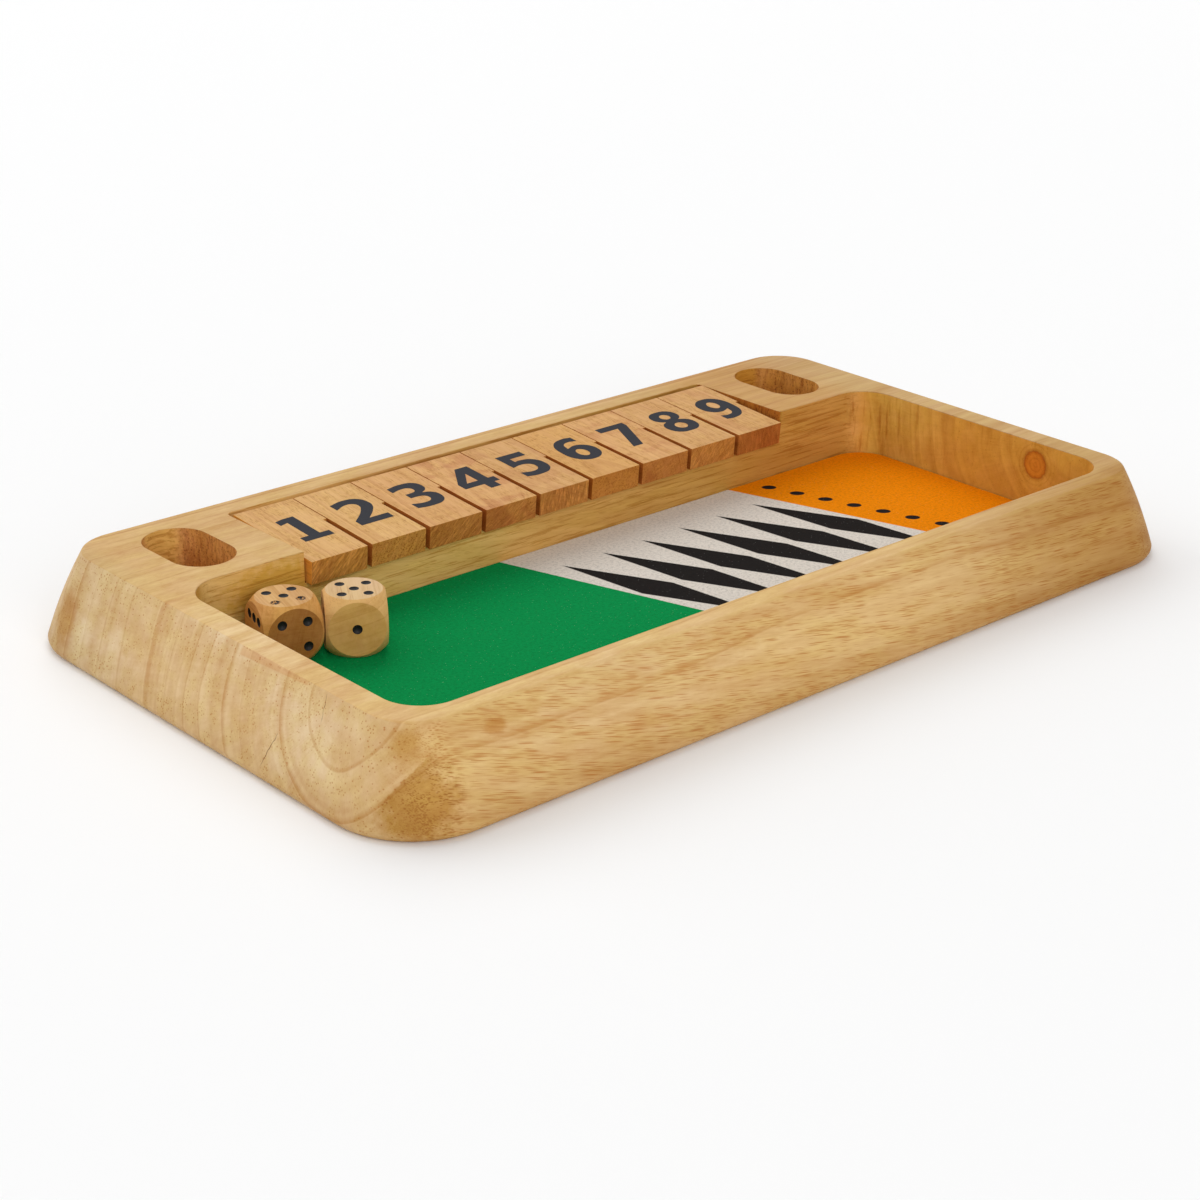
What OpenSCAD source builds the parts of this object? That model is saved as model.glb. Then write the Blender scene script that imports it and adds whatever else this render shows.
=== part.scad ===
// Shut the box: a milled hardwood tray with nine hinged number tiles, a play pocket and two dice.
// Origin at the centre of the flat base. X runs along the tile row, -Y is the player's side, +Z is up.

/* [Tray] */
// Length over the widest part of the base
base_length = 289; // [275:1:310]
// Front to back over the widest part of the base
base_depth = 165; // [162:1:180]
// Height from the table to the flat rim
tray_height = 25.6; // [24:0.2:30]
// How far each side spreads outwards from the rim to the base
side_reach = 10.2; // [7:0.2:12]
// How far each side bulges beyond a straight slope
side_bulge = 0.6; // [0.4:0.1:1]
// Corner radius of the rim seen from above
rim_corner_radius = 13; // [11:0.5:16]
// Rounding where the sides meet the base
base_edge_radius = 2.4; // [1.8:0.2:3]

/* [Play pocket] */
// Width of the rim at both ends of the pocket
end_rim = 7.3; // [6:0.1:9]
// Width of the rim along the player's side
front_rim = 6; // [5:0.1:8]
// Corner radius of the pocket seen from above
pocket_corner_radius = 11; // [9:0.5:13]
// Wood left under the pocket
pocket_floor = 4.5; // [3.6:0.1:6]
// Thickness of the glued mat
mat_thickness = 1; // [0.8:0.1:1.4]
// Gap left around the mat
mat_gap = 0.3; // [0.2:0.1:0.6]

/* [Back shelf] */
// From the pocket's back wall to the rear edge of the rim
shelf_depth = 43.5; // [42.5:0.5:46]
// Width of the rail behind the tiles
back_rail = 7.5; // [6.5:0.5:8.5]
// Corner radius at the rear of the tile recess
recess_corner_radius = 2.2; // [1.6:0.2:2.4]
// Wood between the tile recess and each dice pocket
inner_wall = 12; // [11.5:0.5:13]
// Width of each dice pocket
dice_pocket_width = 18; // [17:0.5:19]
// Length of each dice pocket, front to back
dice_pocket_length = 30; // [26:1:32]
// Depth of each dice pocket below the rim
dice_pocket_depth = 18; // [15:0.5:20]

/* [Tiles] */
// Distance from one tile to the next
tile_pitch = 19.6; // [18.6:0.2:20.4]
// Gap between two tiles along their full-width rear half
tile_gap = 0.2; // [0.2:0.1:0.4]
// Extra gap between the row and each end of the recess
row_clearance = 0.5; // [0.4:0.1:0.8]
// Length of a tile, hinge end to free end
tile_length = 36; // [35:0.5:37]
// Thickness of a tile
tile_thickness = 6.8; // [6:0.2:7.4]
// Length of the narrower front part of a tile
relief_length = 20; // [16:0.5:22]
// Wood taken off one side along that front part
relief_depth = 1.2; // [0.8:0.1:1.6]

/* [Hinge] */
// Diameter of the steel rod
rod_diameter = 3; // [2.4:0.2:3.2]
// Radial clearance between the rod and the tiles
hinge_clearance = 0.08; // [0.05:0.01:0.1]
// From the rear end of a tile to the rod's centre
rod_setback = 3.6; // [3.2:0.1:4]
// Room around the tile's rear corners as it swings
swing_clearance = 0.75; // [0.6:0.05:1]
// From a tile's rear end to the wall behind it
rear_groove = 2.45; // [2.3:0.05:2.6]
// Depth of the rod's seat at each end
rod_seat = 4.5; // [4:0.5:5]
// Depth to spare in the left hole when the rod is pushed in to clear the right wall
rod_slide_spare = 0.5; // [0.3:0.1:0.8]
// Gap kept between parts that rest on each other but move
rest_gap = 0.05; // [0.03:0.01:0.08]

/* [Dice] */
// Edge length of a die
die_size = 16; // [15:0.5:16.5]
// Diameter of the ball that rounds a die's corners
die_ball = 21.8; // [21.6:0.1:22]
// Diameter of a pip
pip_diameter = 2.4; // [2:0.1:2.8]
// Depth of a pip
pip_depth = 0.6; // [0.4:0.1:0.8]
// From the middle of a face to its outer rows of pips
pip_spacing = 3.4; // [3:0.1:3.8]
// Left die: centre from the pocket's left wall
left_die_x = 22.6; // [22:0.1:23]
// Left die: centre from the pocket's back wall
left_die_y = 12.9; // [12.6:0.1:14]
// Left die: turn about the vertical
left_die_turn = -15; // [-18:1:-12]
// Right die: centre from the pocket's left wall
right_die_x = 39; // [39:0.1:41]
// Right die: centre from the pocket's back wall
right_die_y = 20.6; // [20.6:0.1:22]
// Right die: turn about the vertical
right_die_turn = -31.5; // [-34:0.5:-28]

/* [Node] */
// Which piece to draw

/* [Hidden] */
$fn = 96;
EPS = 0.01;
CUT = 1;                       // how far a cutter runs past the face it opens
TILE_COUNT = 9;

// Rim and base outlines
rim_length = base_length - 2 * side_reach;
rim_depth = base_depth - 2 * side_reach;
corner_x = rim_length / 2 - rim_corner_radius;
corner_y = rim_depth / 2 - rim_corner_radius;

// The side profile is an arc from the rim's edge down to the top of the base rounding
side_rise = tray_height - base_edge_radius;
side_chord = sqrt(side_rise * side_rise + side_reach * side_reach);
side_radius = side_chord * side_chord / (8 * side_bulge) + side_bulge / 2;
side_lean = atan2(side_reach, side_rise);
// Centre of that arc, measured from the rim's corner axis
arc_back = side_radius - side_bulge;
arc_x = rim_corner_radius + side_reach / 2 - arc_back * cos(side_lean);
arc_z = base_edge_radius + side_rise / 2 - arc_back * sin(side_lean);

// Play pocket
pocket_length = rim_length - 2 * end_rim;
pocket_back = rim_depth / 2 - shelf_depth;
pocket_front = -rim_depth / 2 + front_rim;
mat_top = pocket_floor + mat_thickness;

// Hinge line and the ledge that the free ends rest on
swing_radius = sqrt(rod_setback * rod_setback + tile_thickness * tile_thickness / 4);
rod_rise = swing_radius + swing_clearance;
rod_z = tray_height - tile_thickness / 2;
ledge_z = rod_z - rod_rise;
recess_back = rim_depth / 2 - back_rail;
rod_y = recess_back - rear_groove - rod_setback;
ledge_span = rod_y - pocket_back;
// Resting slope: the underside of a tile meets the front edge of the ledge
tile_slope = atan2(rod_rise, ledge_span)
    - asin((tile_thickness / 2 + rest_gap) / sqrt(rod_rise * rod_rise + ledge_span * ledge_span));
row_length = TILE_COUNT * tile_pitch;
recess_length = row_length + 2 * row_clearance;
tile_width = tile_pitch - tile_gap;
// The left hole runs deeper than the seat at the right, so the rod is pushed in there first, then slid back
rod_slide_room = rod_seat + rod_slide_spare;
rod_left = -recess_length / 2 - rod_seat;
rod_right = recess_length / 2 + rod_seat;
dice_pocket_x = recess_length / 2 + inner_wall + dice_pocket_width / 2;
dice_pocket_y = rim_depth / 2 - shelf_depth / 2;

wood = [0.86, 0.70, 0.48];
tile_wood = [0.80, 0.58, 0.38];
steel = [0.70, 0.71, 0.73];

// Cross-section of a side, from the line that joins the corner axes outwards
module side_profile() {
    widest = rim_corner_radius + side_reach;
    intersection() {
        translate([0, base_edge_radius]) square([widest + CUT, side_rise]);
        translate([arc_x, arc_z]) circle(r = side_radius);
    }
    square([widest - base_edge_radius, base_edge_radius]);
    intersection() {
        square([widest + CUT, base_edge_radius]);
        translate([widest - base_edge_radius, base_edge_radius]) circle(r = base_edge_radius);
    }
}

// The milled block before any pocket is cut
module tray_block() {
    translate([-corner_x, -corner_y, 0]) cube([2 * corner_x, 2 * corner_y, tray_height]);
    for (turn = [0, 180]) rotate([0, 0, turn]) {
        translate([-corner_x, corner_y, 0]) rotate([90, 0, 90]) linear_extrude(2 * corner_x) side_profile();
        translate([corner_x, corner_y, 0]) rotate([90, 0, 0]) linear_extrude(2 * corner_y) side_profile();
        translate([corner_x, corner_y, 0]) rotate_extrude(angle = 90) side_profile();
        translate([-corner_x, corner_y, 0]) rotate([0, 0, 90]) rotate_extrude(angle = 90) side_profile();
    }
}

// A rectangle with four rounded corners, given by its outer edges
module rounded_area(left, right, front, back, r) {
    translate([left, front + r]) square([right - left, back - front - 2 * r]);
    translate([left + r, front]) square([right - left - 2 * r, back - front]);
    for (x = [left + r, right - r], y = [front + r, back - r]) translate([x, y]) circle(r = r);
}

// Recess for the tile row: square at the front, where it opens into the pocket, and rounded at the rear
module recess_area() {
    half = recess_length / 2;
    r = recess_corner_radius;
    translate([-half, pocket_back - CUT]) square([recess_length, recess_back - r - pocket_back + CUT]);
    translate([-half + r, pocket_back]) square([recess_length - 2 * r, recess_back - pocket_back]);
    for (x = [-half + r, half - r]) translate([x, recess_back - r]) circle(r = r);
}

module dice_pocket_area() {
    r = dice_pocket_width / 2;
    straight = dice_pocket_length - dice_pocket_width;
    translate([-r, -straight / 2]) square([dice_pocket_width, straight]);
    for (y = [-straight / 2, straight / 2]) translate([0, y]) circle(r = r);
}

// Tray: one block with the pocket, the tile recess, two dice pockets and a blind seat for each end of the rod
module tray() {
    color(wood) difference() {
        tray_block();
        translate([0, 0, pocket_floor]) linear_extrude(tray_height)
            rounded_area(-pocket_length / 2, pocket_length / 2, pocket_front, pocket_back, pocket_corner_radius);
        translate([0, 0, ledge_z]) linear_extrude(tray_height) recess_area();
        for (x = [-dice_pocket_x, dice_pocket_x])
            translate([x, dice_pocket_y, tray_height - dice_pocket_depth]) linear_extrude(tray_height)
                dice_pocket_area();
        translate([rod_left - rod_slide_room, rod_y, rod_z]) rotate([0, 90, 0])
            cylinder(d = rod_diameter, h = rod_right - rod_left + rod_slide_room);
    }
}

// Mat: a thin printed sheet glued to the pocket floor
module felt_mat() {
    color([0.05, 0.51, 0.26]) translate([0, 0, pocket_floor]) linear_extrude(mat_thickness)
        rounded_area(-pocket_length / 2 + mat_gap, pocket_length / 2 - mat_gap,
                     pocket_front + mat_gap, pocket_back - mat_gap, pocket_corner_radius - mat_gap);
}

// Rod: seated at the right end, with room to slide in the deeper left hole
module hinge_rod() {
    color(steel) translate([rod_left, rod_y, rod_z]) rotate([0, 90, 0])
        cylinder(d = rod_diameter, h = rod_right - rod_left);
}

// Number tile: full width around the rod, relieved on its right side along the free front half
module number_tile(index) {
    left = -row_length / 2 + index * tile_pitch + tile_gap / 2;
    color(tile_wood) translate([left, rod_y, rod_z]) rotate([tile_slope, 0, 0]) difference() {
        translate([0, rod_setback - tile_length, -tile_thickness / 2])
            cube([tile_width, tile_length, tile_thickness]);
        translate([tile_width - relief_depth, rod_setback - tile_length - CUT, -tile_thickness / 2 - CUT])
            cube([relief_depth + CUT, relief_length + CUT, tile_thickness + 2 * CUT]);
        translate([-CUT, 0, 0]) rotate([0, 90, 0])
            cylinder(d = rod_diameter + 2 * hinge_clearance, h = tile_width + 2 * CUT);
    }
}

module tile_1() { number_tile(0); }
module tile_2() { number_tile(1); }
module tile_3() { number_tile(2); }
module tile_4() { number_tile(3); }
module tile_5() { number_tile(4); }
module tile_6() { number_tile(5); }
module tile_7() { number_tile(6); }
module tile_8() { number_tile(7); }
module tile_9() { number_tile(8); }

// The places of a face's pips, in steps of pip_spacing
PIPS = [
    [[0, 0]],
    [[-1, 1], [1, -1]],
    [[-1, 1], [0, 0], [1, -1]],
    [[-1, 1], [1, 1], [-1, -1], [1, -1]],
    [[-1, 1], [1, 1], [0, 0], [-1, -1], [1, -1]],
    [[-1, 1], [0, 1], [1, 1], [-1, -1], [0, -1], [1, -1]]
];

// Drilled pips of one face, cut into the top of a die that is centred on the origin
module pips(count) {
    for (p = PIPS[count - 1])
        translate([p[0] * pip_spacing, p[1] * pip_spacing, die_size / 2 - pip_depth])
            cylinder(d = pip_diameter, h = pip_depth + CUT);
}

// A die with its front, right, back and left faces given; five is on top and two below
module die(front, right, back, left) {
    faces = [front, right, back, left];
    difference() {
        intersection() {
            cube(die_size, center = true);
            sphere(d = die_ball);
        }
        pips(5);
        rotate([180, 0, 0]) pips(2);
        for (side = [0:3]) rotate([0, 0, side * 90]) rotate([90, 0, 0]) pips(faces[side]);
    }
}

module die_left() {
    color(wood) translate([-pocket_length / 2 + left_die_x, pocket_back - left_die_y,
                           mat_top + rest_gap + die_size / 2])
        rotate([0, 0, left_die_turn]) die(4, 1, 3, 6);
}

module die_right() {
    color(wood) translate([-pocket_length / 2 + right_die_x, pocket_back - right_die_y,
                           mat_top + rest_gap + die_size / 2])
        rotate([0, 0, right_die_turn]) die(1, 3, 6, 4);
}

tray();
felt_mat();
hinge_rod();
tile_1();
tile_2();
tile_3();
tile_4();
tile_5();
tile_6();
tile_7();
tile_8();
tile_9();
die_left();
die_right();
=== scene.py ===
"""Shut the box: the look of the milled tray, its printed mat, the hinged number tiles and the dice."""
from math import asin, atan2, copysign, cos, pi, radians, sin, sqrt

import bmesh
import bpy
from mathutils import Matrix, Quaternion, Vector


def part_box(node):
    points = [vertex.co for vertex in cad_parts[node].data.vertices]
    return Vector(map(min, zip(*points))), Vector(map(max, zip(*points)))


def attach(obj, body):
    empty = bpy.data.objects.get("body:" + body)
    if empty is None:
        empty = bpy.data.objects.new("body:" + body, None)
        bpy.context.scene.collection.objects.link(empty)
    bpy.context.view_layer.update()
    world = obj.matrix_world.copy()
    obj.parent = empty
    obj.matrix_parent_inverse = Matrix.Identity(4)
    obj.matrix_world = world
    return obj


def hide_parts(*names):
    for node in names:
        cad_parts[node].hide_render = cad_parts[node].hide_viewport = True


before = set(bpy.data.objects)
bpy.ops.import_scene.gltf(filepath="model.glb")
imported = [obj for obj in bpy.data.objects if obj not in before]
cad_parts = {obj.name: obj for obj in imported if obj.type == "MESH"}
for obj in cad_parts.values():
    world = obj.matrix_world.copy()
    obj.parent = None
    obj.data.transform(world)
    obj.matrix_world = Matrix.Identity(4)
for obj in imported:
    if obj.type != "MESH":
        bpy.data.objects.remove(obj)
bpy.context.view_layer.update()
scene = bpy.context.scene

# ------------------------------
# Viewpoint: from the left of the player's seat, 0.6 m from the tray and about a quarter of a
# metre above the table, looking down across the rim.
aim_point = Vector((-0.05154, -0.04495, 0.0256))
view_distance = 0.6023
view_azimuth = -42.35
view_elevation = 23.04
view_roll = radians(0.84)
focal_length_mm = 72.68
sensor_width_mm = 36


def towards(azimuth, elevation):
    """A direction from the tray: azimuth 0 is the player's side and 90 is on the right."""
    azimuth, elevation = radians(azimuth), radians(elevation)
    return Vector((sin(azimuth) * cos(elevation), -cos(azimuth) * cos(elevation), sin(elevation)))


def place_facing(thing, location, direction, roll=0):
    """Puts a camera or a lamp in its place, looking against a direction."""
    thing.location = location
    thing.rotation_mode = "QUATERNION"
    thing.rotation_quaternion = (-direction).to_track_quat("-Z", "Y") @ Quaternion((0, 0, 1), roll)
    scene.collection.objects.link(thing)


towards_viewer = towards(view_azimuth, view_elevation)
camera_data = bpy.data.cameras.new("player_view")
camera_data.lens = focal_length_mm
camera_data.sensor_width = sensor_width_mm
camera = bpy.data.objects.new("player_view", camera_data)
place_facing(camera, aim_point + towards_viewer * view_distance, towards_viewer, view_roll)
scene.camera = camera

# ------------------------------
# Tray: one block of pale rubberwood, its long grain along the tile row, moulded with flared
# sides on a spindle, then milled from above for the play pocket, the tile recess and two dice
# pockets. Edges are eased by hand and the whole is clear lacquered.
tray_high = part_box("tray")[1]
tray_height = tray_high.z
side_reach = 0.0102
side_bulge = 0.0006
rim_corner_radius = 0.013
base_round = 0.0024
rim_x = tray_high.x - side_reach
rim_y = tray_high.y - side_reach
corner_x = rim_x - rim_corner_radius
corner_y = rim_y - rim_corner_radius
shelf_depth = 0.0435
pocket_x = rim_x - 0.0073
pocket_front = -rim_y + 0.006
pocket_back = rim_y - shelf_depth
pocket_floor = 0.0045
pocket_radius = 0.011
recess_x = 0.0887
recess_back = rim_y - 0.0075
recess_radius = 0.0022
ledge_height = 0.0165
dice_pocket_x = 0.1097
dice_pocket_y = rim_y - shelf_depth / 2
dice_pocket_half = Vector((0.009, 0.015))
dice_pocket_floor = tray_height - 0.018
worn_corner_radius = 0.0014
rim_easing = 0.0003
same_place = 1e-5
cutter_top = tray_height + 0.01
hinge_y = 0.05875
hinge_height = 0.0222
rod_radius = 0.0015


def finish_piece(name, bm, body, material):
    """Makes a shape a named piece that rides on a body, with crisp arrises and smooth curves."""
    mesh = bpy.data.meshes.new(name)
    bm.to_mesh(mesh)
    bm.free()
    mesh.materials.append(material)
    mesh.shade_smooth()
    sharp_from = radians(25)
    mesh.set_sharp_from_angle(angle=sharp_from)
    piece = bpy.data.objects.new(name, mesh)
    scene.collection.objects.link(piece)
    # broad flat faces keep their own direction where they run into a rounding
    piece.modifiers.new("true_flats", "WEIGHTED_NORMAL").keep_sharp = True
    if body:
        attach(piece, body)
    return piece


def points_in(geometry):
    return [g for g in geometry if isinstance(g, bmesh.types.BMVert)]


def move(bm, by, verts):
    bmesh.ops.translate(bm, vec=by, verts=verts)


def as_mesh(thing):
    """The mesh that a curve, or a piece with its cuts, comes to."""
    bpy.context.view_layer.update()
    return bpy.data.meshes.new_from_object(thing.evaluated_get(bpy.context.evaluated_depsgraph_get()))


def milled_shape(left, right, front, back, low, high, radius, round_front=True, steps=14):
    """What one pass of the router takes out: an upright block with rounded corners."""
    bm = bmesh.new()
    bmesh.ops.create_grid(bm, x_segments=1, y_segments=1, size=0.5)
    bmesh.ops.scale(bm, vec=(right - left, back - front, 1), verts=bm.verts)
    move(bm, ((left + right) / 2, (front + back) / 2, low), bm.verts)
    middle = (front + back) / 2
    corners = [v for v in bm.verts if round_front or v.co.y > middle]
    bmesh.ops.bevel(bm, geom=corners, offset=radius, offset_type="OFFSET", segments=steps,
                    profile=0.5, affect="VERTICES", material=-1, clamp_overlap=True)
    # where two roundings all but meet they are made to meet, or no arris there could be eased
    bmesh.ops.remove_doubles(bm, verts=bm.verts, dist=same_place)
    grown = bmesh.ops.extrude_face_region(bm, geom=bm.faces[:])["geom"]
    move(bm, (0, 0, high - low), points_in(grown))
    bmesh.ops.recalc_face_normals(bm, faces=bm.faces)
    return bm


def carve(bm, cutters, materials=(), action="DIFFERENCE"):
    """Takes the cutters out of a solid, or leaves only what both share."""
    solids = []
    for solid_bm in [bm] + cutters:
        mesh = bpy.data.meshes.new("solid")
        solid_bm.to_mesh(mesh)
        for material in materials:
            mesh.materials.append(material)
        solids.append(bpy.data.objects.new("solid", mesh))
        scene.collection.objects.link(solids[-1])
    for tool, cutter in zip(solids[1:], cutters):
        cutter.free()
        cut = solids[0].modifiers.new("cut", "BOOLEAN")
        cut.operation = action
        cut.solver = "EXACT"
        cut.object = tool
    cut_mesh = as_mesh(solids[0])
    bm.clear()
    bm.from_mesh(cut_mesh)
    for spent in solids:
        spent_mesh = spent.data
        bpy.data.objects.remove(spent)
        bpy.data.meshes.remove(spent_mesh)
    bpy.data.meshes.remove(cut_mesh)
    bmesh.ops.remove_doubles(bm, verts=bm.verts, dist=same_place / 10)
    return bm


def ease(bm, width, wanted, segments=3):
    """Rounds over the wanted arrises, as fine abrasive does, and gives the new faces."""
    arris_from = radians(28)
    sharp = [e for e in bm.edges
             if len(e.link_faces) == 2 and e.calc_face_angle(0) > arris_from and wanted(e)]
    rounded = bmesh.ops.bevel(bm, geom=sharp, offset=width, offset_type="OFFSET", segments=segments,
                              profile=0.5, affect="EDGES", material=-1, clamp_overlap=True)
    return rounded["faces"]


# --- wood: a solid pattern, so long grain and end grain meet correctly at every arris ---
def fill(made, inputs):
    """Gives each socket of a node a value, or links another node's socket to it."""
    for key, value in inputs.items():
        if isinstance(value, bpy.types.NodeSocket):
            made.id_data.links.new(value, made.inputs[key])
        else:
            made.inputs[key].default_value = value


def node(tree, kind, inputs=None, **settings):
    """Adds a shader node to a tree."""
    made = tree.nodes.new(kind)
    for key, value in settings.items():
        setattr(made, key, value)
    fill(made, inputs or {})
    return made


def joined(kind, inputs, **settings):
    """Adds a shader node to the tree that its inputs come from; gives its outputs."""
    tree = next(value.id_data for value in inputs.values() if isinstance(value, bpy.types.NodeSocket))
    return node(tree, f"ShaderNode{kind}", inputs, **settings).outputs


def maths(operation, a, b=0, c=0, clamp=False):
    return joined("Math", {0: a, 1: b, 2: c}, operation=operation, use_clamp=clamp)[0]


def times(first, *others):
    """The product of two or more values."""
    return maths("MULTIPLY", first, times(*others) if len(others) > 1 else others[0])


def plus(a, b):
    return maths("ADD", a, b)


def sloped(value, slope, start):
    """A value that rises from its start with another one."""
    return maths("MULTIPLY_ADD", value, slope, start)


def less(a, b):
    """a with b taken away."""
    return maths("SUBTRACT", a, b)


def size_of(value):
    """A value without its sign."""
    return maths("ABSOLUTE", value)


def vector_maths(operation, a, b=(0, 0, 0)):
    kind = "Value" if operation in ("LENGTH", "DOT_PRODUCT") else "Vector"
    return joined("VectorMath", {0: a, 1: b}, operation=operation)[kind]


def scaled(vector, x, y, z):
    return vector_maths("MULTIPLY", vector, (x, y, z))


def parts_of(vector):
    """A point or a direction taken apart into X, Y and Z."""
    return joined("SeparateXYZ", {0: vector})


def point(x=0, y=0, z=0):
    return joined("CombineXYZ", {0: x, 1: y, 2: z})[0]


def mix(factor, a, b, blend="MIX"):
    return joined("Mix", {0: factor, 6: a, 7: b}, data_type="RGBA", blend_type=blend)[2]


def tinted(colour, *tints):
    """Deepens a colour by one tint after another, each where its mask is 1."""
    for mask, tint in tints:
        tint = (*tint, 1) if isinstance(tint, tuple) else tint
        colour = mix(mask, colour, mix(1, colour, tint, "MULTIPLY"))
    return colour


def ramp(value, low, high, out_low=0, out_high=1):
    """A smooth step of value from low to high."""
    limits = {"From Min": low, "From Max": high, "To Min": out_low, "To Max": out_high}
    return joined("MapRange", {"Value": value, **limits}, interpolation_type="SMOOTHSTEP")["Result"]


def noise(place, scale=1, detail=2, roughness=0.5, distortion=0, output=0):
    """Soft random clouds, from 0 to 1 and mostly near a half."""
    look = {"Scale": scale, "Detail": detail, "Roughness": roughness, "Distortion": distortion}
    return joined("TexNoise", {"Vector": place, **look})[output]


def cells(place, scale=1):
    """Random cells: the distance from the middle of each, and its own random colour."""
    return joined("TexVoronoi", {"Vector": place, "Scale": scale})


def drawn_for(number, output):
    """A random value or colour, the same wherever the number is the same."""
    return joined("TexWhiteNoise", {"W": number}, noise_dimensions="1D")[output]


def srgb(r, g, b):
    """An eight-bit display colour as the linear colour that a shader takes."""
    linear = [((c / 255 + 0.055) / 1.055) ** 2.4 if c > 10 else c / 3294.6 for c in (r, g, b)]
    return (*linear, 1)


rubberwood = bpy.data.node_groups.new("rubberwood", "ShaderNodeTree")
for end, kind, labels in (
        ("INPUT", "Vector", ("Place", "Normal", "Heart")),
        ("INPUT", "Float", ("Ring Width", "Ring Strength", "Band Strength", "Pore Amount", "Lean", "Figure")),
        ("INPUT", "Color", ("Pale", "Dark", "Pore", "End Tint")),
        ("OUTPUT", "Color", ("Color",)), ("OUTPUT", "Float", ("Roughness", "Height", "Pores"))):
    for label in labels:
        rubberwood.interface.new_socket(label, in_out=end, socket_type=f"NodeSocket{kind}")
given = node(rubberwood, "NodeGroupInput").outputs
# the place is in millimetres with the grain along X, and the rings run round the heart
end_grain = ramp(size_of(parts_of(given["Normal"])[0]), 0.35, 0.9)
wander = noise(scaled(given["Place"], 0.007, 0.02, 0.02), output="Color")
wander = vector_maths("SUBTRACT", wander, (0.5, 0.5, 0.5))
bent = vector_maths("ADD", given["Place"], scaled(wander, 0, 9, 9))
from_heart = scaled(vector_maths("SUBTRACT", bent, given["Heart"]), 0, 1, 1)


def ring_noise(ring, scale):
    """Clouds that change from ring to ring only."""
    return joined("TexNoise", {"W": ring, "Scale": scale, "Detail": 2, "Roughness": 0.6},
                  noise_dimensions="1D")[0]


ring = maths("DIVIDE", vector_maths("LENGTH", from_heart), given["Ring Width"])
ring = sloped(ring_noise(ring, 0.8), 1.6, ring)
ring_phase = maths("FRACT", ring)
ring_draw = drawn_for(maths("FLOOR", ring), "Value")
late_wood = sloped(ramp(ring_phase, 0.74, 0.94), 0.7, ramp(ring_phase, 0.2, 0.9, 0, 0.3))
late_wood = times(late_wood, ramp(ring_phase, 1, 0.93))
late_wood = times(late_wood, ramp(ring_draw, 0, 1, 0.3, 1))
# on end grain each ring ends in a thin line, and fine rays run across the rings
ring_edge = times(ramp(ring_phase, 0.72, 0.94), ramp(ring_phase, 1, 0.95))
ring_edge = times(ring_edge, ramp(ring_draw, 0, 1, 0.05, 0.6))
ring_edge = times(ring_edge, end_grain, given["Ring Strength"])
heart_parts = parts_of(from_heart)
bearing = maths("ARCTAN2", heart_parts[2], heart_parts[1])
rays = noise(point(times(bearing, 60), times(ring, 0.9)), 1, 3, 0.6)
# paler and rosier layers lie between the rings
layers = ring_noise(ring, 1.9)

# fibres and pores lean across the rings, as the grain is interlocked
x, y, z = parts_of(given["Place"])
bow_length = 320
bowed = times(x, sloped(x, -1 / bow_length, 1))
leaning = point(x, y, sloped(bowed, given["Lean"], z))
leaning = vector_maths("ADD", leaning, scaled(wander, 0, 5, 5))
# the vessels also lean sideways, by as much as the moulded front slants, so they run along it
front_slant = 0.43
sideways = times(times(bowed, given["Lean"]), front_slant)
vessel_line = vector_maths("ADD", leaning, point(y=sideways))
fibre = noise(scaled(leaning, 0.08, 1.35, 1.35), 1, 6, 0.72)
streak = noise(scaled(leaning, 0.025, 0.42, 0.42), 1, 3)
broad = noise(scaled(leaning, 0.016, 0.11, 0.11), 1, 3)
cluster = noise(scaled(leaning, 0.05, 0.2, 0.2))


def luck(cell, *scarcity):
    """How far a cell's own draw is within the chance of a vessel there; below 0 there is none."""
    chance = times(given["Pore Amount"], ramp(cluster, *scarcity))
    return less(chance, joined("SeparateColor", {0: cell["Color"]})[0])


def pores(length, width):
    """Open vessels: long thin cells along the grain, drawn at random from a grid of them."""
    cell = cells(scaled(vessel_line, 1 / length, 1 / width, 1 / width))
    return times(ramp(luck(cell, 0.32, 0.68, 0.4, 1.3), 0, 0.5), ramp(cell["Distance"], 0.56, 0.1))


pore = maths("MAXIMUM", pores(8, 0.36), times(pores(5, 0.27), 0.85))
pore = maths("MAXIMUM", pore, times(pores(17, 1), 0.17))
# seen from the end the same vessels are small round dots
vessels = cells(scaled(leaning, 0.03, 1.4, 1.4))
dots = times(ramp(vessels["Distance"], 0.42, 0.18), ramp(luck(vessels, 0.35, 0.65, 0.5, 1.25), -0.05, 0.5))
pore = sloped(less(dots, pore), end_grain, pore)
shade = times(late_wood, given["Ring Strength"], sloped(end_grain, -0.4, 1))
shade = sloped(sloped(layers, 2, -1), given["Band Strength"], shade)
shade = plus(shade, ring_edge)
for pattern, with_grain, across_grain in (
        (fibre, 1, 0.5), (streak, 0.9, 0.5), (broad, 0.9, 1), (rays, 0, 0.45)):
    strength = times(sloped(end_grain, across_grain - with_grain, with_grain), given["Figure"])
    shade = sloped(less(pattern, 0.5), strength, shade)
shade = maths("ADD", shade, 0.3, clamp=True)
wood_colour = mix(shade, given["Pale"], given["Dark"])
# some parts of the board are yellower, others rosier
wood_colour = tinted(wood_colour, (ramp(cluster, 0.35, 0.65), (0.985, 1, 0.88)))
wood_colour = mix(times(pore, 0.85), wood_colour, given["Pore"])
# end grain drinks the lacquer in, so it is darker
node(rubberwood, "NodeGroupOutput", {
    "Color": tinted(wood_colour, (end_grain, given["End Tint"])),
    "Roughness": plus(times(fibre, 0.14), sloped(pore, 0.2, 0.46)),
    "Height": less(times(fibre, 0.5), pore), "Pores": pore})


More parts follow.
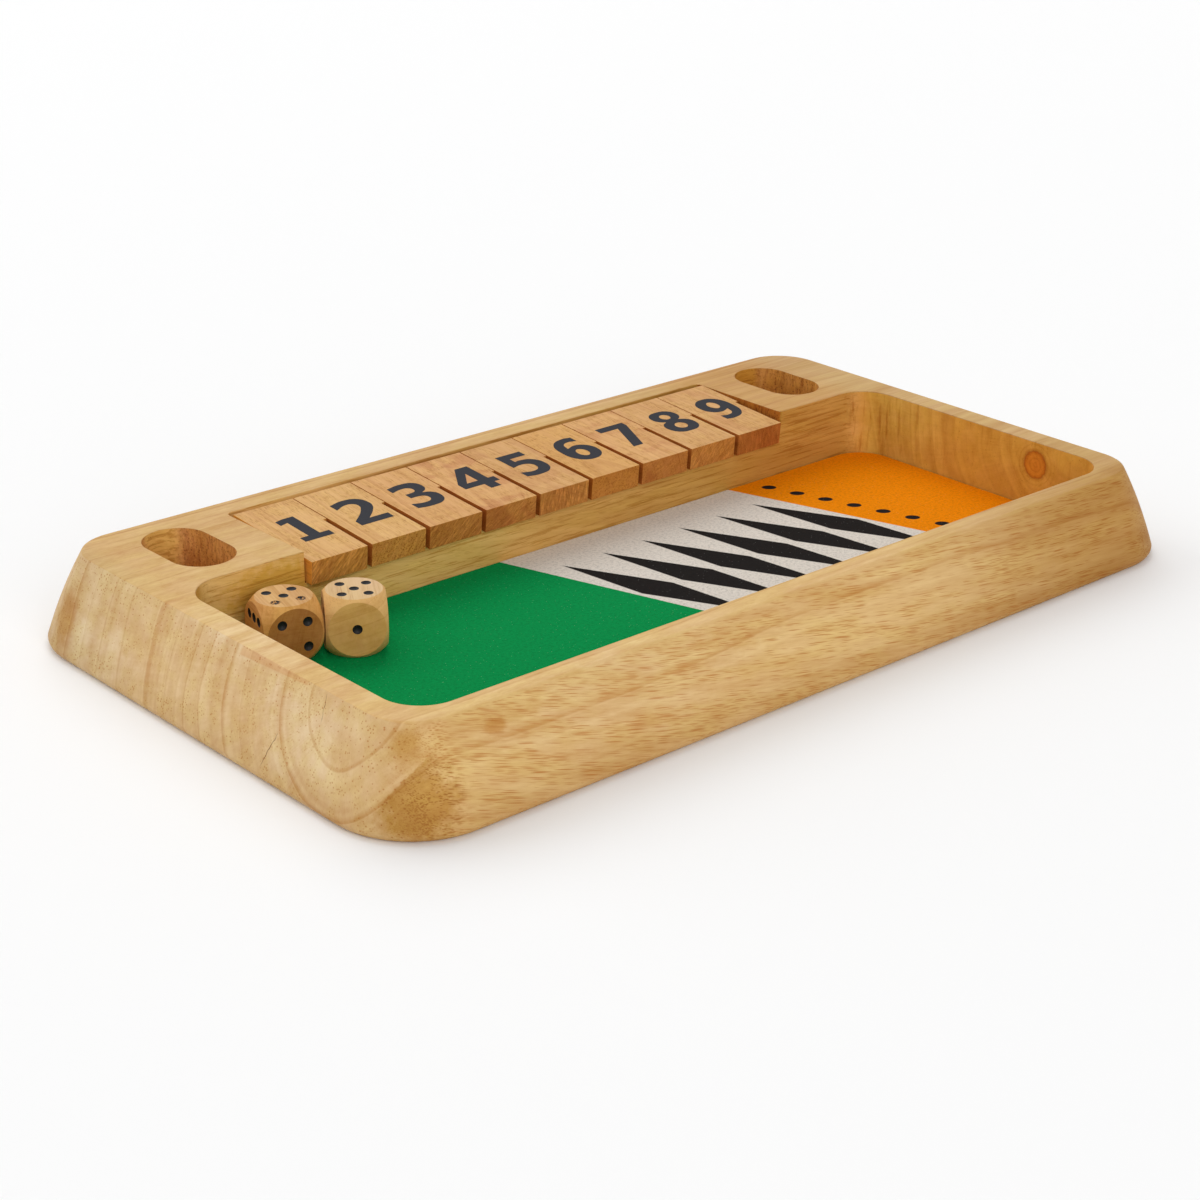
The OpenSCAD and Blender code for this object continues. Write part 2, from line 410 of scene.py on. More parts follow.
def new_material(name):
    """A material with a bare surface shader, and that shader."""
    material = bpy.data.materials.new(name)
    material.use_nodes = True
    tree = material.node_tree
    tree.nodes.clear()
    shader = node(tree, "ShaderNodeBsdfPrincipled")
    node(tree, "ShaderNodeOutputMaterial", {0: shader.outputs[0]})
    return material, shader


def place_on(shader):
    """The point on the piece, in millimetres."""
    return scaled(node(shader.id_data, "ShaderNodeTexCoord").outputs["Object"], 1000, 1000, 1000)


def facing_of(shader):
    """The direction that the surface faces there."""
    return node(shader.id_data, "ShaderNodeTexCoord").outputs["Normal"]


def turned_to_grain(vector, turn):
    """Turns a point or a direction so that the grain runs along X."""
    return joined("Mapping", {"Vector": vector, "Rotation": turn})[0]


def raised(height, strength, distance):
    """Fine relief that is too small to be modelled."""
    return joined("Bump", {"Height": height, "Strength": strength, "Distance": distance})[0]


def lacquered_wood(shader, place, turn=(0, 0, 0), bump=0.12, **look):
    """Lays the rubberwood pattern on a surface; gives its colour and pores for what goes over it."""
    sockets = {"Place": turned_to_grain(place, turn), "Normal": turned_to_grain(facing_of(shader), turn)}
    sockets.update({key.replace("_", " ").title(): value for key, value in look.items()})
    grain = node(shader.id_data, "ShaderNodeGroup", sockets, node_tree=rubberwood).outputs
    fill(shader, {"Base Color": grain["Color"], "Roughness": grain["Roughness"], "Specular IOR Level": 0.12,
                  "Normal": raised(grain["Height"], bump, 0.00008)})
    return grain["Color"], grain["Pores"]


def span_from(place, centre, reach, rough, ragged):
    """How far a point is from a mark's centre, where 1 is its ragged border."""
    away = vector_maths("DIVIDE", vector_maths("SUBTRACT", place, centre), reach)
    return sloped(less(rough, 0.5), ragged, vector_maths("LENGTH", away))


def patch(place, centre, reach, ragged=0.35, ragged_scale=0.35, soft=0.5):
    """A mark in the wood: 1 at its centre, 0 beyond its reach."""
    span = span_from(place, centre, reach, noise(place, ragged_scale, 4, 0.65), 2 * ragged)
    return ramp(span, 1 + soft / 2, 1 - soft / 2)


def line_mark(place, start, end, half_width, facing=(-1, 0, 0.44)):
    """How far a point is from a hairline that runs from start to end, and 1 on the hairline itself."""
    start, end = Vector(start), Vector(end)
    along = (end - start).normalized()
    across = along.cross(Vector(facing)).normalized()
    offset = vector_maths("SUBTRACT", place, start)
    shaken = less(noise(place, 0.6), 0.5)
    aside = sloped(shaken, 1.2, vector_maths("DOT_PRODUCT", offset, across))
    run = maths("DIVIDE", vector_maths("DOT_PRODUCT", offset, along), (end - start).length)
    inside = times(ramp(run, 0, 0.25), ramp(run, 1, 0.75))
    return aside, times(ramp(size_of(aside), half_width, half_width * 0.3), inside)


tray_wood, tray_shader = new_material("tray_rubberwood")
tray_place = place_on(tray_shader)
tray_look = dict(heart=(0, -53, 26.5), ring_width=7.4, lean=0.16, figure=1)
tray_along, tray_back, tray_above = parts_of(tray_place)
tray_up = parts_of(facing_of(tray_shader))[2]
on_top = ramp(tray_up, 0.5, 0.9)
left_end = ramp(tray_along, -126, -134)
# sanded flat faces show their pores less than the moulded sides
tray_pores = ramp(tray_up, 0.5, 0.9, 0.85, 0.2)
tray_colour, tray_pore = lacquered_wood(
    tray_shader, tray_place, ring_strength=0.45, band_strength=0.4, pore_amount=tray_pores,
    pale=srgb(222, 187, 130), dark=srgb(192, 141, 80), pore=srgb(182, 118, 58),
    end_tint=(0.98, 1.03, 1.22, 1), **tray_look)
beside_tiles = times(ramp(tray_along, 66, 88), ramp(tray_along, 128, 110))
tray_colour = tinted(
    tray_colour,
    # the board is browner towards its right end, most of all along the front, and at the back
    (ramp(tray_along, 10, 120), (0.84, 0.82, 0.8)),
    (times(ramp(tray_along, 40, 110), ramp(tray_back, -64, -70)), (0.82, 0.7, 0.48)),
    (times(on_top, ramp(tray_back, 0, 60)), (0.92, 0.89, 0.84)),
    (times(left_end, ramp(tray_back, 20, 60)), (0.93, 0.96, 1)),
    # painted shade: towards the foot the sides are darkened a little, for the lesser light that reaches them
    # there
    (ramp(tray_above, 12, 2), (0.88, 0.85, 0.8)),
    # the top of the right shelf is orange beside the tiles
    (times(beside_tiles, on_top, ramp(tray_back, 22, 30)), (0.97, 0.85, 0.66)),
    # and browner again at the front of the right rim
    (times(ramp(tray_along, 118, 124), on_top, ramp(tray_back, -26, -50)), (0.9, 0.84, 0.74)))
# pale, creamy areas in the left end, on its rim and towards the left of the front
for centre, reach in (
        ((-140, -40, 14), (9, 15, 10)), ((-142, 44, 8), (9, 17, 6)), ((-130, -6, 26), (9, 18, 5)),
        ((-70, -78, 19), (34, 9, 10))):
    pale_area = patch(tray_place, centre, reach, ragged=1.1, ragged_scale=0.12, soft=0.9)
    tray_colour = tinted(tray_colour, (pale_area, (1.06, 1.12, 1.26)))
# a brown stain at the back of the left end, a small knot on the front, and mustard streaks at the
# front left corner
for centre, reach, tint, soft in (
        ((-141, 61, 11), (9, 4.6, 7.5), (0.76, 0.58, 0.34), 1.1),
        ((-110.3, -75, 20.6), (3.2, 4, 1.7), (0.86, 0.72, 0.52), 0.9),
        ((-132, -70, 20.5), (3.4, 3.2, 4.6), (0.84, 0.72, 0.5), 1.2)):
    tray_colour = tinted(tray_colour, (patch(tray_place, centre, reach, ragged=0.6, soft=soft), tint))
# the dark sapwood at that corner ends along one growth ring, and its pores are brown
past_ring, ring_line = line_mark(tray_place, (-140.5, -69.6, 7), (-126.5, -75.2, 20), 0.8, (-1, -1, 0.7))
sapwood = patch(tray_place, (-133, -75, 8), (9.5, 7.5, 9), ragged=0.7, soft=0.9)
sapwood = times(ramp(past_ring, -0.4, 0.4), sapwood)
tray_colour = tinted(tray_colour, (maths("MAXIMUM", sapwood, times(ring_line, 0.8)), (0.74, 0.6, 0.32)))
tray_colour = mix(times(sapwood, tray_pore), tray_colour, srgb(150, 96, 40))
# a rosy growth layer comes out along the top of the left end
layer_foot = sloped(tray_back, -0.04, 22.9)
layer = times(ramp(less(tray_above, layer_foot), 0, 0.35),
              ramp(tray_back, -10, -11), ramp(tray_back, -37.4, -36.6))
layer = times(layer, left_end, ramp(tray_up, 0.8, 0.6))
tray_colour = tinted(tray_colour, (layer, (0.93, 0.8, 0.7)))
# drying checks in the left end
for start, end, half_width in (
        ((-140.2, -33, 13.2), (-144.1, -29.6, 3.4), 0.22),
        ((-134.6, -44.4, 25.5), (-137.4, -45.9, 18.5), 0.12)):
    check = times(line_mark(tray_place, start, end, half_width)[1], left_end)
    tray_colour = mix(times(check, 0.75), tray_colour, srgb(112, 66, 28))
fill(tray_shader, {"Base Color": tray_colour})

# inside the pockets the router leaves a rougher, darker face than the sanded outside
milled_wood, milled_shader = new_material("milled_rubberwood")
milled_place = place_on(milled_shader)
milled_colour = lacquered_wood(
    milled_shader, milled_place, bump=0.2, ring_strength=0.2, band_strength=0.5, pore_amount=0.3,
    pale=srgb(228, 180, 106), dark=srgb(190, 134, 62), pore=srgb(176, 118, 52),
    end_tint=(0.94, 0.86, 0.5, 1), **tray_look)[0]
milled_along, milled_back = parts_of(milled_place)[:2]
milled_facing = parts_of(facing_of(milled_shader))
from_middle = size_of(milled_along)
# behind the play pocket only the dice pockets and the two end walls of the recess are so far out
behind = times(ramp(milled_back, 28.85, 29.2), ramp(from_middle, 87.6, 88.4))
on_long_wall = times(ramp(from_middle, 124, 118), less(1, behind))
wall_lines = noise(scaled(milled_place, 0.045, 0.9, 1.1), 1, 5, 0.7, 0.3)
mustard = patch(milled_place, (-98, 28.8, 18), (14, 4, 6), ragged=0.9, soft=0.8)
scorch = noise(scaled(milled_place, 0.5, 0.5, 0.07), 1, 4, 0.65)
in_corner = times(ramp(from_middle, 116, 122), ramp(milled_back, 0, 20, 0.35, 1))
milled_colour = tinted(
    milled_colour,
    # painted light and shade: the long back wall is lightened towards the left, and darkened and browned
    # towards the right, where it lies in shadow under the last tiles
    (on_long_wall, mix(ramp(milled_along, -100, 85), (1.12, 1.22, 1.44, 1), (0.75, 0.71, 0.55, 1))),
    # long brown lines run along it, and mustard ones by the left end of the tile recess
    (times(on_long_wall, ramp(wall_lines, 0.51, 0.59)), (0.76, 0.64, 0.48)),
    (times(on_long_wall, mustard), (0.86, 0.78, 0.4)),
    # both end walls are paler, the right one only towards the back
    (times(ramp(milled_along, 123, 126), ramp(milled_back, -15, 15)), (1.04, 1.24, 1.5)),
    (ramp(milled_along, -123, -126), (1.1, 1.03, 1.4)),
    # the cutter has scorched the end grain in upright streaks, most of all in the corners
    (times(in_corner, ramp(scorch, 0.5, 0.68)), (0.76, 0.62, 0.45)))
# the dice pockets are all but end grain, torn by the deepest cuts
torn = noise(scaled(milled_place, 1, 1, 0.35), 0.9, 4, 0.7)
pit = times(ramp(cells(milled_place, 1.3)["Distance"], 0.42, 0.2), ramp(torn, 0.4, 0.6, 0.2, 0.8))
pit_colour = mix(ramp(torn, 0.38, 0.66), (1.08, 1, 1.62, 1), (0.76, 0.6, 0.98, 1))
pit_colour = mix(pit, pit_colour, (0.42, 0.28, 0.34, 1))
# their front and back are long grain: cleaner and yellower
long_grain = ramp(size_of(milled_facing[0]), 0.8, 0.4)
in_right_one = ramp(milled_along, -10, 10)
long_grain_colour = mix(in_right_one, (1.08, 1.12, 1.1, 1), (0.78, 0.63, 0.3, 1))
long_grain_colour = tinted(long_grain_colour, (ramp(wall_lines, 0.48, 0.58), (0.74, 0.62, 0.5)))
pit_colour = mix(long_grain, tinted(pit_colour, (in_right_one, (0.92, 0.9, 0.7))), long_grain_colour)
pit_colour = mix(ramp(milled_facing[2], 0.5, 0.9, 0, 0.6), pit_colour, (1, 1, 1, 1))
# a knot has been cut through in the right wall: a dark rim round heartwood, and faint rings about it
knot_rough = noise(milled_place, 0.7, 4, 0.7)
knot_span = span_from(milled_place, (127, -39.9, 18.5), (6, 4.1, 4.3), knot_rough, 0.34)
knot_rings = size_of(less(maths("FRACT", times(knot_span, 3.1)), 0.5))
halo = times(ramp(knot_span, 2.4, 1), ramp(knot_rings, 0.3, 0, 0, 0.5))
knot_rim = times(ramp(knot_span, 1.14, 0.98), ramp(knot_span, 0.8, 0.94))
milled_colour = tinted(
    milled_colour, (behind, pit_colour),
    # painted shade: the end walls of the recess, in shadow beside the end tiles, are darkened to a deep brown
    (times(behind, ramp(from_middle, 90.5, 89.5)), (0.72, 0.52, 0.32)),
    (halo, (0.8, 0.64, 0.42)), (ramp(knot_span, 1.02, 0.9), (1, 0.72, 0.42)),
    (knot_rim, (0.68, 0.52, 0.44)))
fill(milled_shader, {"Base Color": milled_colour})


# --- shape: the moulding profile is run round the block corner by corner ---
def round_bar(left, right, radius, segments, y=0, z=0):
    """A round bar that lies along the tile row."""
    bm = bmesh.new()
    bmesh.ops.create_cone(bm, cap_ends=True, segments=segments, radius1=radius, radius2=radius,
                          depth=right - left)
    bmesh.ops.rotate(bm, matrix=Matrix.Rotation(pi / 2, 3, "Y"), verts=bm.verts)
    move(bm, ((left + right) / 2, y, z), bm.verts)
    return bm


tray_bm = bmesh.new()
side_rise = tray_height - base_round
side_chord = sqrt(side_rise ** 2 + side_reach ** 2)
side_radius = side_chord ** 2 / (8 * side_bulge) + side_bulge / 2
side_lean = atan2(side_reach, side_rise)
widest = corner_x + rim_corner_radius + side_reach
arc_centre = Vector((widest - side_reach / 2 - (side_radius - side_bulge) * cos(side_lean), corner_y,
                     base_round + side_rise / 2 - (side_radius - side_bulge) * sin(side_lean)))
first = tray_bm.verts.new((widest - base_round, corner_y, 0))
turned = bmesh.ops.spin(tray_bm, geom=[first], cent=(widest - base_round, corner_y, base_round),
                        axis=(0, -1, 0), angle=pi / 2, steps=6)["geom_last"]
bmesh.ops.spin(tray_bm, geom=turned, cent=arc_centre, axis=(0, -1, 0),
               angle=2 * asin(side_chord / 2 / side_radius), steps=8)
profile = tray_bm.edges[:]
for x, y in ((corner_x, corner_y), (-corner_x, corner_y), (-corner_x, -corner_y), (corner_x, -corner_y)):
    swept = bmesh.ops.spin(tray_bm, geom=profile, cent=(x, y, 0), axis=(0, 0, 1), angle=pi / 2, steps=18)
    profile = [g for g in swept["geom_last"] if isinstance(g, bmesh.types.BMEdge)]
    drawn_out = bmesh.ops.extrude_edge_only(tray_bm, edges=profile)["geom"]
    run = (-2 * x, 0, 0) if x * y > 0 else (0, -2 * y, 0)
    move(tray_bm, run, points_in(drawn_out))
    profile = [g for g in drawn_out if isinstance(g, bmesh.types.BMEdge)]
bmesh.ops.remove_doubles(tray_bm, verts=tray_bm.verts, dist=same_place / 10)
bmesh.ops.holes_fill(tray_bm, edges=[e for e in tray_bm.edges if e.is_boundary], sides=0)
bmesh.ops.recalc_face_normals(tray_bm, faces=tray_bm.faces)

rod_low, rod_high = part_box("hinge_rod")
# the left seat is deeper by the depth of the right one, so that the rod can be slid in
seat_spare = 0.0005
seat_left = rod_low.x - (rod_high.x - recess_x) - seat_spare
recess_overlap = 0.001
cutters = [
    milled_shape(-pocket_x, pocket_x, pocket_front, pocket_back, pocket_floor, cutter_top, pocket_radius),
    milled_shape(-recess_x, recess_x, pocket_back - recess_overlap, recess_back, ledge_height, cutter_top,
                 recess_radius, round_front=False, steps=8),
    round_bar(seat_left, rod_high.x, rod_radius, 32, hinge_y, hinge_height)]
for x in (-dice_pocket_x, dice_pocket_x):
    cutters.append(milled_shape(
        x - dice_pocket_half.x, x + dice_pocket_half.x, dice_pocket_y - dice_pocket_half.y,
        dice_pocket_y + dice_pocket_half.y, dice_pocket_floor, cutter_top,
        dice_pocket_half.x - same_place / 10, steps=18))
for cutter in cutters:
    for face in cutter.faces:
        face.material_index = 1
tray_bm = carve(tray_bm, cutters, materials=(tray_wood, milled_wood))
# the shelf corner beside the last tile is worn rounder than the one beside the first
worn_corner = Vector((recess_x, pocket_back))
ease(tray_bm, worn_corner_radius,
     lambda e: all((v.co.xy - worn_corner).length < same_place for v in e.verts), 5)


def on_rim(edge):
    return all(abs(v.co.z - tray_height) < same_place for v in edge.verts)


def on_ledge(edge):
    return all(abs(v.co.z - ledge_height) < same_place and abs(v.co.y - pocket_back) < same_place
               for v in edge.verts)


def by_dice_pocket(edge):
    """True for an arris of either dice pocket."""
    middle = Vector((dice_pocket_x, dice_pocket_y))
    just_past = dice_pocket_half.y + 0.0001
    return all((Vector((abs(v.co.x), v.co.y)) - middle).length < just_past for v in edge.verts)


eased = ease(tray_bm, rim_easing, lambda e: on_rim(e) and not by_dice_pocket(e) or on_ledge(e))
# the dice pockets keep a crisper arris
eased += ease(tray_bm, rim_easing / 3, lambda e: on_rim(e) and by_dice_pocket(e))
# the abrasive leaves these roundings as clean as the top, but it doesn't reach those of the recess
for face in eased:
    centre = face.calc_center_median()
    if abs(centre.x) > recess_x + rim_easing or centre.y < pocket_back:
        face.material_index = 0
# the front arris of the rim is sanded rounder than those of the two ends
front_softness = 2
for vert in tray_bm.verts:
    corner = Vector((copysign(corner_x, vert.co.x), -corner_y))
    outwards = vert.co.xy - corner
    in_front_corner = abs(vert.co.x) > corner_x - same_place and vert.co.y < -corner_y + same_place
    near_arris = 2 * rim_easing
    on_arris = vert.co.z > tray_height - near_arris and outwards.length > rim_corner_radius - near_arris
    if in_front_corner and on_arris:
        outwards.normalize()
        arris = (corner + outwards * rim_corner_radius).to_3d() + Vector((0, 0, tray_height))
        vert.co = arris + (vert.co - arris) * (1 - front_softness * outwards.y)
tray = finish_piece("tray_body", tray_bm, "tray", tray_wood)
tray.data.materials.append(milled_wood)
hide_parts("tray")

# ------------------------------
# Mat: a sheet of short-napped felt, die-cut to the pocket and glued down, screen printed with
# a green field, a cream field of black lozenges and an orange field of dots.
mat_low, mat_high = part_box("felt_mat")
mat_gap, mat_easing = 0.0003, 0.0003
mat_corner = pocket_radius - mat_gap
mat_bm = milled_shape(mat_low.x, mat_high.x, mat_low.y, mat_high.y, mat_low.z, mat_high.z, mat_corner)
ease(mat_bm, mat_easing, lambda e: all(abs(v.co.z - mat_high.z) < same_place for v in e.verts), 2)
felt, felt_shader = new_material("printed_felt")
felt_place = place_on(felt_shader)
felt_green, felt_cream = srgb(6, 143, 74), srgb(224, 216, 205)
felt_orange, felt_black = srgb(240, 137, 3), srgb(33, 30, 29)
nap = noise(felt_place, 1.1, 6, 0.8)
mat_x, mat_y = parts_of(felt_place)[:2]
# the fields are parted by slanting lines that lean towards the left at the back
slant = plus(sloped(mat_y, 0.32, mat_x), times(less(nap, 0.5), 0.5))
cream_from, orange_from, print_blur = -14, 76, 0.15
on_cream = ramp(slant, cream_from - print_blur, cream_from + print_blur)
on_orange = ramp(slant, orange_from - print_blur, orange_from + print_blur)


def from_print(value, pitch, start=0):
    """How far a value is from the middle of the print that it falls in, in a row of equal pitch."""
    # whole pitches are added first, because the remainder must not be negative
    whole_pitches = 20
    in_row = maths("MODULO", plus(value, pitch * whole_pitches + start), pitch)
    return less(in_row, pitch / 2)


# tall black lozenges, one every fifteen millimetres across the cream field
lozenge_pitch, lozenge_half_width, lozenge_half_height, lozenge_middle = 15, 5.9, 29, -14
within = size_of(from_print(less(slant, cream_from), lozenge_pitch))
up = size_of(plus(mat_y, -lozenge_middle))
lozenge_span = plus(maths("DIVIDE", within, lozenge_half_width), maths("DIVIDE", up, lozenge_half_height))
lozenge = times(ramp(lozenge_span, 1.03, 0.97), times(on_cream, less(1, on_orange)))
printed = mix(on_cream, felt_green, felt_cream)
printed = mix(on_orange, printed, felt_orange)
printed = mix(lozenge, printed, felt_black)
# a row of round dots down the orange field
dot_pitch, dot_radius, dot_inset, dot_start = 9, 1.9, 9, 0.75
dot_off = point(less(slant, orange_from + dot_inset), from_print(mat_y, dot_pitch, dot_start))
dot_off = vector_maths("LENGTH", dot_off)
printed = mix(ramp(dot_off, dot_radius + print_blur, dot_radius - print_blur), printed, felt_black)
mottled = mix(ramp(nap, 0.34, 0.66, 0.74, 1.14), (0, 0, 0, 1), printed)
# lint and short fibres that stand up through the print
lint = ramp(cells(felt_place, 0.85)["Distance"], 0.12, 0.04, 0, 0.16)
fill(felt_shader, {"Base Color": mix(lint, mottled, (1, 1, 1, 1)), "Roughness": 0.95,
                   "Specular IOR Level": 0.04, "Normal": raised(nap, 0.45, 0.0004)})
mat = finish_piece("printed_mat", mat_bm, "tray", felt)
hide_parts("felt_mat")

# ------------------------------
# Hinge rod: drawn steel, three millimetres thick, slid into a deep hole at the left and back
# into a seat at the right. All nine tiles turn on it.
rod_easing = 0.0003
rod_bm = round_bar(rod_low.x, rod_high.x, rod_radius, 48, hinge_y, hinge_height)
ease(rod_bm, rod_easing, lambda e: True, 2)
steel, steel_shader = new_material("drawn_steel")
draw_lines = noise(scaled(place_on(steel_shader), 0.05, 9, 9), 1, 3)
fill(steel_shader, {"Base Color": mix(draw_lines, srgb(150, 151, 154), srgb(196, 196, 198)),
                    "Roughness": ramp(draw_lines, 0.2, 0.8, 0.28, 0.45), "Metallic": 1})
rod = finish_piece("steel_rod", rod_bm, "tray", steel)
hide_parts("hinge_rod")

# ------------------------------
# Number tiles: nine blocks of darker rubberwood, sawn with the grain from hinge to free end,
# cross-bored for the rod and narrowed on the right so that a finger can part them. They rest
# on the edge of the ledge, so they slope a little towards the player.
tile_count = 9
tile_pitch = 0.0196
tile_width = 0.0194
tile_length = 0.036
tile_thickness = 0.0068
tile_setback = 0.0036
relief_length = 0.02
relief_depth = 0.0012
bore_radius = rod_radius + 0.00008
tile_easing = 0.00022
rest_gap = 0.00005
swing_gap = 0.00075
ledge_rise = sqrt(tile_setback ** 2 + tile_thickness ** 2 / 4) + swing_gap
ledge_span = hinge_y - pocket_back
tile_slope = (atan2(ledge_rise, ledge_span)
              - asin((tile_thickness / 2 + rest_gap) / sqrt(ledge_rise ** 2 + ledge_span ** 2)))

tile_wood, tile_shader = new_material("tile_rubberwood")
# each tile is cut from another part of the board: its number in the row moves the grain
tile_place = place_on(tile_shader)
across_row = parts_of(tile_place)[0]
pitch_mm = tile_pitch * 1000
from_row_end = plus(across_row, tile_count * pitch_mm / 2)
tile_number = maths("FLOOR", maths("DIVIDE", from_row_end, pitch_mm))
board_start = 31.7
draw = drawn_for(plus(tile_number, board_start), "Color")
moved = scaled(vector_maths("SUBTRACT", draw, (0.5, 0.5, 0.5)), 70, 200, 60)
# this board's grain is finer than the tray's
moved = scaled(vector_maths("ADD", tile_place, moved), 1.7, 1.7, 1.7)
# one attribute gives the tile's tone, and how light its end grain is
board_tone = node(tile_shader.id_data, "ShaderNodeAttribute", attribute_name="board_tone").outputs
end_colour = mix(board_tone["Alpha"], (0.6, 0.36, 0.2, 1), (0.8, 0.6, 0.36, 1))
tile_colour = lacquered_wood(
    tile_shader, moved, turn=(0, 0, radians(-90)), heart=(0, 24, -20), ring_width=3.2, ring_strength=0.4,
    band_strength=0.34, figure=0.7, pore_amount=0.55, pale=srgb(221, 175, 112), dark=srgb(190, 136, 76),
    pore=srgb(154, 98, 48), end_tint=end_colour)[0]
tile_facing = parts_of(facing_of(tile_shader))
# the other gives the slant of the flecks, how strong they are, how dotted the tile is and how rosy its top
end_figure = node(tile_shader.id_data, "ShaderNodeAttribute", attribute_name="end_figure").outputs
fleck_slant, fleck_strength, dottedness = joined("SeparateColor", {0: end_figure["Color"]})
fleck_turn = {"Vector": tile_place, "Axis": (0, 1, 0), "Angle": times(fleck_slant, pi)}
fleck_place = joined("VectorRotate", fleck_turn)[0]
flecks = noise(scaled(fleck_place, 0.4, 0.1, 1.9))
fleck_dots = cells(scaled(fleck_place, 1.3, 0.1, 1.6))["Distance"]
tile_end = ramp(size_of(tile_facing[1]), 0.8, 0.95)
# painted light and shade on the tiles' sawn sides: dark in the gaps, brighter orange on the first tile's left
# side
side_tint = mix(ramp(across_row, -86, -87.5), (0.66, 0.36, 0.16, 1), (1.34, 1.05, 0.5, 1))
tile_colour = tinted(
    tile_colour,
    # painted shade: the sawn sides are darkened for the shadow in the narrow gaps between the tiles, and the
    # first tile's left side gets a painted brighter orange, for light bounced onto it
    (ramp(size_of(tile_facing[0]), 0.6, 0.9), side_tint),
    (times(ramp(noise(tile_place, 0.13, 3), 0.45, 0.6), end_figure["Alpha"]), (0.86, 0.74, 0.72)),
    # on the end grain, light and dark flecks run across the rings, slanting as the board was cut
    (times(ramp(flecks, 0.54, 0.64), tile_end, fleck_strength), (1.35, 1.4, 1.5)),
    (times(ramp(flecks, 0.46, 0.36), tile_end, fleck_strength), (0.78, 0.72, 0.64)),
    (times(ramp(fleck_dots, 0.38, 0.2), tile_end, dottedness), (0.72, 0.6, 0.46)))
fill(tile_shader, {"Base Color": mix(1, tile_colour, board_tone["Color"], "MULTIPLY")})
# the boards differ: tan, rosy and honey coloured; the last figure is how light the end grain is
tan, rosy, dusky, honey = (1, 1, 1), (0.97, 0.91, 0.91), (0.94, 0.9, 0.9), (0.96, 0.89, 0.74)
board_of_tile = ((*tan, 1), (*tan, 1), (*rosy, 0.6), (*rosy, 0.8), (*dusky, 0.9), (*honey, 0.9),
                 (*rosy, 0.6), (*dusky, 0.9), (*dusky, 0.1))
end_figure_of_tile = (
    (0.27, 1, 0.2, 0.3), (0.3, 0.45, 1, 0), (0.25, 0.8, 0.3, 0.2), (0.2, 0.6, 0.3, 1),
    (0.48, 1, 0.3, 0.5), (0.4, 0.2, 0.8, 0.1), (0.15, 0.35, 0.3, 0.8), (0.28, 0.7, 0.2, 0.3),
    (0.5, 0.5, 0.1, 0.5))

ink, ink_shader = new_material("charcoal_ink")
ink_spread = noise(place_on(ink_shader), 3, 4)
fill(ink_shader, {"Base Color": mix(ink_spread, srgb(58, 59, 64), srgb(72, 72, 76)),
                  "Roughness": ramp(ink_spread, 0.3, 0.7, 0.45, 0.6), "Specular IOR Level": 0})

# numerals, a hundred units high: each outline is a closed run of points, and one marked 1 is a corner
oval = (0, 1), (0.7, 0.7), (1, 0), (0.7, -0.7), (0, -1), (-0.7, -0.7), (-1, 0), (-0.7, 0.7)


def oval_at(x, y, half_width, half_height):
    return [(x + a * half_width, y + b * half_height) for a, b in oval]


six = [[(67, 98.5, 1), (48, 101.2), (18, 89), (4.5, 48), (14, 11), (41, -1.5), (68, 9), (77, 32.5), (69, 56),
        (49, 65), (27.5, 59, 1), (34, 78), (48, 83.5), (67, 79.5, 1)], oval_at(41.5, 32.5, 11.5, 16)]
numerals = {
    1: [[(7, 0, 1), (67, 0, 1), (67, 17, 1), (48, 17, 1), (48, 96, 1), (25, 96, 1), (9, 92, 1), (9, 75, 1),
         (25, 79, 1), (25, 17, 1), (7, 17, 1)]],
    2: [[(5, 0, 1), (74, 0, 1), (74, 18.5, 1), (35, 18.5, 1), (60, 42), (70.5, 57.5), (73, 71), (64.5, 93),
         (38, 101.5), (6, 95, 1), (6, 73.5, 1), (34, 83.5), (46, 79), (49.5, 69), (41, 52), (5, 18.5, 1)]],
    3: [[(6, 96.5, 1), (36, 101.5), (63, 94.5), (70, 76), (64.5, 61), (52, 53.5, 1), (68, 45.5), (74, 29),
         (64, 6), (32, -1.5), (4, 3, 1), (4, 23, 1), (30, 16.5), (45, 20), (50, 30), (45, 40), (30, 43.5, 1),
         (19.5, 43.5, 1), (19.5, 60.5, 1), (30.5, 60.5, 1), (42.5, 63.5), (46.2, 72), (42, 80.5), (30, 83.8),
         (6, 78.5, 1)]],
    4: [[(40, 100, 1), (68, 100, 1), (68, 38.5, 1), (81, 38.5, 1), (81, 20, 1), (68, 20, 1), (68, 0, 1),
         (45, 0, 1), (45, 20, 1), (2, 20, 1), (2, 42, 1)],
        [(45, 75, 1), (45, 38.5, 1), (20, 38.5, 1)]],
    5: [[(8.5, 100, 1), (66, 100, 1), (66, 81.5, 1), (28.5, 81.5, 1), (28.5, 66.5, 1), (40, 67.5), (64, 59),
         (73.5, 34), (63, 7.5), (33, -1.5), (5, 3, 1), (5, 23, 1), (30, 16.5), (45, 21), (50.5, 33.5),
         (45, 45.5), (30, 50.5), (8.5, 46.5, 1)]],
    6: six,
    7: [[(4, 100, 1), (73, 100, 1), (73, 86, 1), (37.5, 0, 1), (13.5, 0, 1), (46.5, 81.5, 1),
         (4, 81.5, 1)]],
    8: [[(39, 101.5), (63, 94.5), (70.5, 76.5), (66, 62), (55, 53.5, 1), (69.5, 45), (75, 27.5), (65.5, 6),
         (39, -1.5), (12.5, 6), (3, 27.5), (8.5, 45), (23, 53.5, 1), (12, 62), (7.5, 76.5), (15, 94.5)],
        oval_at(39, 74.5, 11, 11.5), oval_at(39, 28, 13, 13)],
    9: [[(81 - x, 100 - y, *corner) for x, y, *corner in outline] for outline in six]}
numeral_height = 0.0157
numeral_middle = -0.0135
numeral_shift = 0.00065
one_shift = 0.0004
ink_thickness = 0.00003


